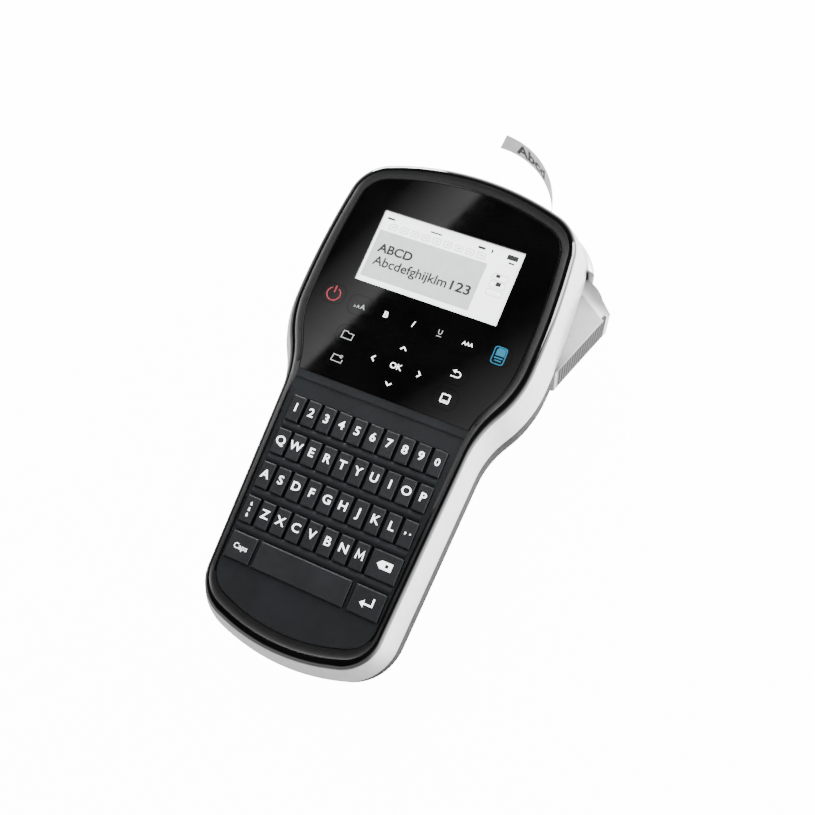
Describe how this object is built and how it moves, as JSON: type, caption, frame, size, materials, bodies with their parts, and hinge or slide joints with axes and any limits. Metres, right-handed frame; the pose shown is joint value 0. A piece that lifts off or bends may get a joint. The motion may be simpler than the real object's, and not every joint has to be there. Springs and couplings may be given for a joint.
{
  "type": "handheld label maker",
  "caption": "Handheld electronic label maker: black keyboard and display face, silver band, grey back, side cutter lever and a curled label leaving the top.",
  "frame": {"origin": "on the flat back of the deep head, just below its hatch, on the line of symmetry of the case outline", "axes": "+X to the cutter side, +Y along the case to the head end, +Z out of the keyboard"},
  "size_m": [0.1224, 0.2427, 0.054],
  "materials": {
    "black_gloss": "gloss",
    "key_plastic": "matt",
    "silver_paint": "satin",
    "grey_plastic": "fine texture",
    "soft_pad": "ribbed",
    "dark_rubber": "matt",
    "lcd_glass": "gloss",
    "board_green": "gloss",
    "component_black": "matt",
    "steel": "brushed",
    "battery_wrap": "satin",
    "frame_grey": "matt",
    "gear_white": "satin",
    "cassette_shell": "satin",
    "tape_white": "satin",
    "ribbon_black": "satin"
  },
  "bodies": {
    "case": {"front_bezel": "black_gloss", "silver_band": "silver_paint", "rear_shell": "grey_plastic", "case_screws": "steel", "display_panel": "black_gloss", "keyboard_fascia": "key_plastic", "lcd_module": "lcd_glass", "main_board": "board_green", "keymat": "dark_rubber", "board_components": "component_black", "usb_socket": "steel", "battery_pack": "battery_wrap", "drive_motor": "steel", "mechanism_frame": "frame_grey", "print_head": "steel", "cassette_body": "cassette_shell", "tape_web": "tape_white", "cutter_pin": "steel", "hatch_pins": "steel"},
    "number_keys_body": {"number_keys": "key_plastic"},
    "top_letter_keys_body": {"top_letter_keys": "key_plastic"},
    "middle_letter_keys_body": {"middle_letter_keys": "key_plastic"},
    "bottom_letter_keys_body": {"bottom_letter_keys": "key_plastic"},
    "backspace_key_body": {"backspace_key": "key_plastic"},
    "caps_key_body": {"caps_key": "key_plastic"},
    "space_key_body": {"space_key": "key_plastic"},
    "enter_key_body": {"enter_key": "key_plastic"},
    "power_key_body": {"power_key": "black_gloss"},
    "size_key_body": {"size_key": "black_gloss"},
    "bold_key_body": {"bold_key": "black_gloss"},
    "italic_key_body": {"italic_key": "black_gloss"},
    "underline_key_body": {"underline_key": "black_gloss"},
    "effects_key_body": {"effects_key": "black_gloss"},
    "print_key_body": {"print_key": "black_gloss"},
    "file_key_body": {"file_key": "black_gloss"},
    "settings_key_body": {"settings_key": "black_gloss"},
    "back_key_body": {"back_key": "black_gloss"},
    "save_key_body": {"save_key": "black_gloss"},
    "up_key_body": {"up_key": "black_gloss"},
    "down_key_body": {"down_key": "black_gloss"},
    "left_key_body": {"left_key": "black_gloss"},
    "right_key_body": {"right_key": "black_gloss"},
    "ok_key_body": {"ok_key": "black_gloss"},
    "platen": {"platen_roller": "dark_rubber", "platen_gear": "gear_white"},
    "upper_gear": {"upper_idler": "gear_white"},
    "lower_gear": {"lower_idler": "gear_white"},
    "pinion_gear": {"motor_pinion": "gear_white"},
    "takeup": {"takeup_spindle": "gear_white", "ribbon_takeup_spool": "ribbon_black"},
    "roll": {"tape_roll": "tape_white"},
    "supply": {"ribbon_supply_spool": "ribbon_black"},
    "hatch": {"cassette_cover": "grey_plastic"},
    "battery_door": {"battery_cover": "grey_plastic"},
    "label": {"label_tape": "tape_white"},
    "lever": {"cutter_lever": "silver_paint", "lever_grip": "soft_pad"},
    "carriage": {"blade_carriage": "frame_grey", "cutter_blade": "steel"}
  },
  "joints": [
    {"name": "number_keys_press", "type": "slide", "parent": "case", "child": "number_keys_body", "axis": [0, 0, -1], "range_m": [0, 0.0005], "stiffness_N_per_m": 60, "springref_m": -0.0002},
    {"name": "top_letter_keys_press", "type": "slide", "parent": "case", "child": "top_letter_keys_body", "axis": [0, 0, -1], "range_m": [0, 0.0005], "stiffness_N_per_m": 60, "springref_m": -0.0002},
    {"name": "middle_letter_keys_press", "type": "slide", "parent": "case", "child": "middle_letter_keys_body", "axis": [0, 0, -1], "range_m": [0, 0.0005], "stiffness_N_per_m": 60, "springref_m": -0.0002},
    {"name": "bottom_letter_keys_press", "type": "slide", "parent": "case", "child": "bottom_letter_keys_body", "axis": [0, 0, -1], "range_m": [0, 0.0005], "stiffness_N_per_m": 60, "springref_m": -0.0002},
    {"name": "backspace_key_press", "type": "slide", "parent": "case", "child": "backspace_key_body", "axis": [0, 0, -1], "range_m": [0, 0.0005], "stiffness_N_per_m": 60, "springref_m": -0.0002},
    {"name": "caps_key_press", "type": "slide", "parent": "case", "child": "caps_key_body", "axis": [0, 0, -1], "range_m": [0, 0.0005], "stiffness_N_per_m": 60, "springref_m": -0.0002},
    {"name": "space_key_press", "type": "slide", "parent": "case", "child": "space_key_body", "axis": [0, 0, -1], "range_m": [0, 0.0005], "stiffness_N_per_m": 60, "springref_m": -0.0002},
    {"name": "enter_key_press", "type": "slide", "parent": "case", "child": "enter_key_body", "axis": [0, 0, -1], "range_m": [0, 0.0005], "stiffness_N_per_m": 60, "springref_m": -0.0002},
    {"name": "power_key_press", "type": "slide", "parent": "case", "child": "power_key_body", "axis": [0, 0, -1], "range_m": [0, 0.0004], "stiffness_N_per_m": 60, "springref_m": -0.0002},
    {"name": "size_key_press", "type": "slide", "parent": "case", "child": "size_key_body", "axis": [0, 0, -1], "range_m": [0, 0.0004], "stiffness_N_per_m": 60, "springref_m": -0.0002},
    {"name": "bold_key_press", "type": "slide", "parent": "case", "child": "bold_key_body", "axis": [0, 0, -1], "range_m": [0, 0.0004], "stiffness_N_per_m": 60, "springref_m": -0.0002},
    {"name": "italic_key_press", "type": "slide", "parent": "case", "child": "italic_key_body", "axis": [0, 0, -1], "range_m": [0, 0.0004], "stiffness_N_per_m": 60, "springref_m": -0.0002},
    {"name": "underline_key_press", "type": "slide", "parent": "case", "child": "underline_key_body", "axis": [0, 0, -1], "range_m": [0, 0.0004], "stiffness_N_per_m": 60, "springref_m": -0.0002},
    {"name": "effects_key_press", "type": "slide", "parent": "case", "child": "effects_key_body", "axis": [0, 0, -1], "range_m": [0, 0.0004], "stiffness_N_per_m": 60, "springref_m": -0.0002},
    {"name": "print_key_press", "type": "slide", "parent": "case", "child": "print_key_body", "axis": [0, 0, -1], "range_m": [0, 0.0004], "stiffness_N_per_m": 60, "springref_m": -0.0002},
    {"name": "file_key_press", "type": "slide", "parent": "case", "child": "file_key_body", "axis": [0, 0, -1], "range_m": [0, 0.0004], "stiffness_N_per_m": 60, "springref_m": -0.0002},
    {"name": "settings_key_press", "type": "slide", "parent": "case", "child": "settings_key_body", "axis": [0, 0, -1], "range_m": [0, 0.0004], "stiffness_N_per_m": 60, "springref_m": -0.0002},
    {"name": "back_key_press", "type": "slide", "parent": "case", "child": "back_key_body", "axis": [0, 0, -1], "range_m": [0, 0.0004], "stiffness_N_per_m": 60, "springref_m": -0.0002},
    {"name": "save_key_press", "type": "slide", "parent": "case", "child": "save_key_body", "axis": [0, 0, -1], "range_m": [0, 0.0004], "stiffness_N_per_m": 60, "springref_m": -0.0002},
    {"name": "up_key_press", "type": "slide", "parent": "case", "child": "up_key_body", "axis": [0, 0, -1], "range_m": [0, 0.0004], "stiffness_N_per_m": 60, "springref_m": -0.0002},
    {"name": "down_key_press", "type": "slide", "parent": "case", "child": "down_key_body", "axis": [0, 0, -1], "range_m": [0, 0.0004], "stiffness_N_per_m": 60, "springref_m": -0.0002},
    {"name": "left_key_press", "type": "slide", "parent": "case", "child": "left_key_body", "axis": [0, 0, -1], "range_m": [0, 0.0004], "stiffness_N_per_m": 60, "springref_m": -0.0002},
    {"name": "right_key_press", "type": "slide", "parent": "case", "child": "right_key_body", "axis": [0, 0, -1], "range_m": [0, 0.0004], "stiffness_N_per_m": 60, "springref_m": -0.0002},
    {"name": "ok_key_press", "type": "slide", "parent": "case", "child": "ok_key_body", "axis": [0, 0, -1], "range_m": [0, 0.0004], "stiffness_N_per_m": 60, "springref_m": -0.0002},
    {"name": "platen_spin", "type": "hinge", "parent": "case", "child": "platen", "pos_m": [0.03143, 0.0525, 0.032], "axis": [0, 0, 1], "continuous": true},
    {"name": "upper_idler_spin", "type": "hinge", "parent": "case", "child": "upper_gear", "pos_m": [0.02303, 0.03795, 0.032], "axis": [0, 0, 1], "continuous": true},
    {"name": "lower_idler_spin", "type": "hinge", "parent": "case", "child": "lower_gear", "pos_m": [0.01886, 0.01432, 0.032], "axis": [0, 0, 1], "continuous": true},
    {"name": "pinion_spin", "type": "hinge", "parent": "case", "child": "pinion_gear", "pos_m": [0.01226, 0.00018, 0.032], "axis": [0, 0, 1], "continuous": true},
    {"name": "takeup_spin", "type": "hinge", "parent": "case", "child": "takeup", "pos_m": [0.00448, 0.04292, 0.032], "axis": [0, 0, 1], "continuous": true},
    {"name": "tape_roll_spin", "type": "hinge", "parent": "case", "child": "roll", "pos_m": [-0.014, 0.031, 0.032], "axis": [0, 0, 1], "continuous": true},
    {"name": "supply_spin", "type": "hinge", "parent": "case", "child": "supply", "pos_m": [0.012, 0.027, 0.032], "axis": [0, 0, 1], "continuous": true},
    {"name": "hatch_open", "type": "hinge", "parent": "case", "child": "hatch", "pos_m": [0, 0.005, 0.002], "axis": [-1, 0, 0], "range_deg": [0, 100]},
    {"name": "battery_door_slide", "type": "slide", "parent": "case", "child": "battery_door", "axis": [0, -1, 0], "range_m": [0, 0.012]},
    {"name": "label_pull", "type": "slide", "parent": "case", "child": "label", "axis": [0, 1, 0], "range_m": [0, 0.02]},
    {"name": "lever_press", "type": "hinge", "parent": "case", "child": "lever", "pos_m": [0.0535, 0.0145, 0.024], "axis": [0, 0, 1], "range_deg": [0, 8.5]},
    {"name": "carriage_slide", "type": "slide", "parent": "case", "child": "carriage", "axis": [-1, 0, 0], "range_m": [0, 0.0061]}
  ],
  "couplings": [
    {"joint": "upper_idler_spin", "follows": "platen_spin", "ratio": -0.4},
    {"joint": "lower_idler_spin", "follows": "platen_spin", "ratio": 0.4},
    {"joint": "pinion_spin", "follows": "platen_spin", "ratio": -1.3333},
    {"joint": "takeup_spin", "follows": "platen_spin", "ratio": 0.66667},
    {"joint": "tape_roll_spin", "follows": "platen_spin", "ratio": -0.19355},
    {"joint": "supply_spin", "follows": "platen_spin", "ratio": -0.46154},
    {"joint": "carriage_slide", "follows": "lever_press", "m_per_rad": 0.0405}
  ]
}
